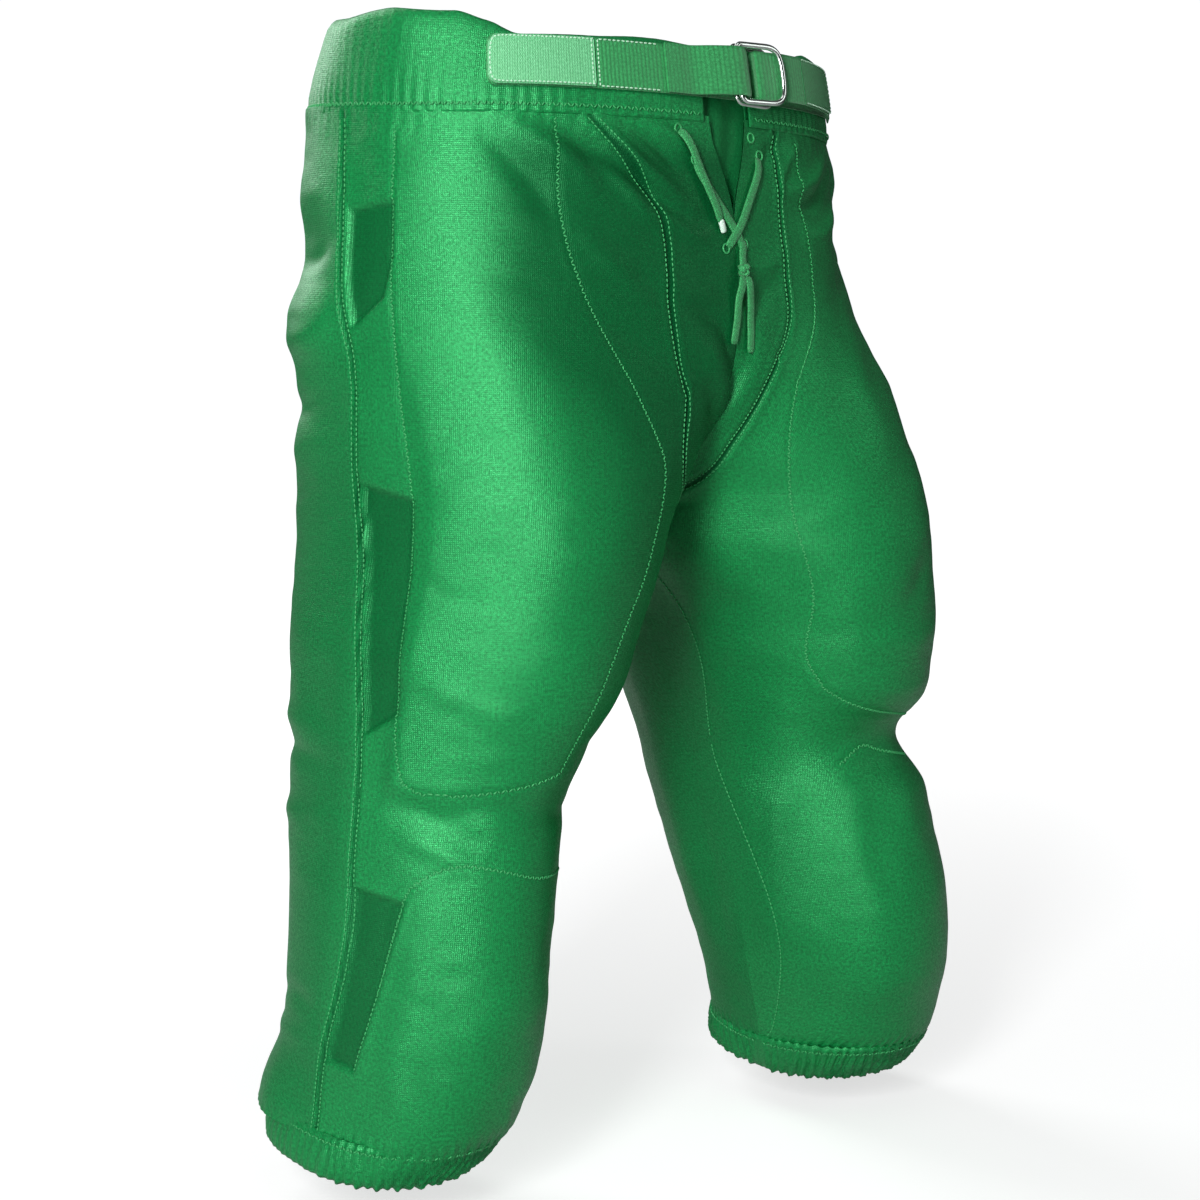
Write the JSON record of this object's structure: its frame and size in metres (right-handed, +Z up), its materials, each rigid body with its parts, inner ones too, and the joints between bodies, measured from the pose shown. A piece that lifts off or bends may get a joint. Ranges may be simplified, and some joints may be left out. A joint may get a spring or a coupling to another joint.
{
  "type": "football pants",
  "caption": "Knee-length padded game trousers with a belted waistband, laced fly, pads in inner pockets at hips, tail, thighs and knees, and elastic cuffs.",
  "frame": {"origin": "centre of the waist opening, at the level of the front waist edge", "axes": "+Z up, the front faces -Y, +X is the wearer's left"},
  "size_m": [0.4639, 0.2995, 0.681],
  "materials": {
    "cloth": "satin polyester knit",
    "lining": "open mesh lining",
    "webbing": "ribbed woven webbing",
    "lace": "flat braided cord",
    "elastic": "knitted elastic",
    "foam": "closed-cell foam in a white sleeve",
    "chrome": "polished",
    "tip": "clear shrunk film"
  },
  "bodies": {
    "seat": {"waistband_right": "cloth", "waistband_left": "cloth", "waistband_lining": "lining", "belt_tunnel_part": "webbing", "belt_ring_strap": "webbing", "belt_left_strap": "webbing", "front_panel_right": "cloth", "front_panel_left": "cloth", "back_panel_right": "cloth", "back_panel_left": "cloth", "fly_placket_right": "cloth", "fly_placket_left": "cloth", "fly_tongue": "cloth", "cup_panel": "cloth", "seat_middle_panel": "cloth", "crotch_gusset": "cloth", "hip_pad_right": "foam", "hip_pad_left": "foam", "hip_pocket_right": "lining", "hip_pocket_left": "lining", "tail_pad": "foam", "tail_pocket": "lining", "lace_cross": "lace", "lace_upper_end": "lace", "lace_tip": "tip", "lace_lower": "lace", "lace_knot": "lace", "lace_end_right": "lace", "lace_end_left": "lace", "hip_crease_front_right": "cloth", "hip_crease_front_left": "cloth", "hip_crease_back_right": "cloth", "hip_crease_back_left": "cloth"},
    "right_thigh": {"thigh_front_panel_right": "cloth", "thigh_back_panel_right": "cloth", "thigh_pad_right": "foam", "thigh_pocket_right": "lining", "inseam_gore_right": "cloth", "knee_crease_right": "cloth"},
    "right_shin": {"knee_front_panel_right": "cloth", "knee_back_panel_right": "cloth", "knee_pad_right": "foam", "knee_pocket_right": "lining", "hem_band_right": "cloth", "cuff_elastic_right": "elastic"},
    "left_thigh": {"thigh_front_panel_left": "cloth", "thigh_back_panel_left": "cloth", "thigh_pad_left": "foam", "thigh_pocket_left": "lining", "inseam_gore_left": "cloth", "knee_crease_left": "cloth"},
    "left_shin": {"knee_front_panel_left": "cloth", "knee_back_panel_left": "cloth", "knee_pad_left": "foam", "knee_pocket_left": "lining", "hem_band_left": "cloth", "cuff_elastic_left": "elastic"},
    "belt_tail": {"belt_tail": "webbing"},
    "ring_inner": {"ring_inner": "chrome"},
    "ring_outer": {"ring_outer": "chrome"}
  },
  "joints": [
    {"name": "right_hip", "type": "hinge", "parent": "seat", "child": "right_thigh", "pos_m": [-0.095, 0, -0.147], "axis": [-1, 0, 0], "range_deg": [-15, 40], "deforming": ["hip_crease_front_right", "hip_crease_back_right", "inseam_gore_right"]},
    {"name": "right_knee", "type": "hinge", "parent": "right_thigh", "child": "right_shin", "pos_m": [-0.13, 0.026, -0.45], "axis": [1, 0, 0], "range_deg": [0, 45], "deforming": ["knee_crease_right"]},
    {"name": "left_hip", "type": "hinge", "parent": "seat", "child": "left_thigh", "pos_m": [0.115, -0.03, -0.147], "axis": [-1, 0, 0], "range_deg": [-15, 40], "deforming": ["hip_crease_front_left", "hip_crease_back_left", "inseam_gore_left"]},
    {"name": "left_knee", "type": "hinge", "parent": "left_thigh", "child": "left_shin", "pos_m": [0.155, -0.014, -0.45], "axis": [1, 0, 0], "range_deg": [0, 45], "deforming": ["knee_crease_left"]},
    {"name": "ring_inner_hinge", "type": "hinge", "parent": "seat", "child": "ring_inner", "pos_m": [0.00322, -0.11366, -0.02097], "axis": [0, -0.1709, -0.9853], "range_deg": [0, 2.5]},
    {"name": "ring_outer_hinge", "type": "hinge", "parent": "seat", "child": "ring_outer", "pos_m": [0.00324, -0.11769, -0.02025], "axis": [0, -0.1709, -0.9853], "range_deg": [0, 60]},
    {"name": "belt_tail_lift", "type": "hinge", "parent": "seat", "child": "belt_tail", "pos_m": [0.06647, -0.11349, -0.01802], "axis": [0, -0.1709, -0.9853], "range_deg": [0, 60]}
  ]
}
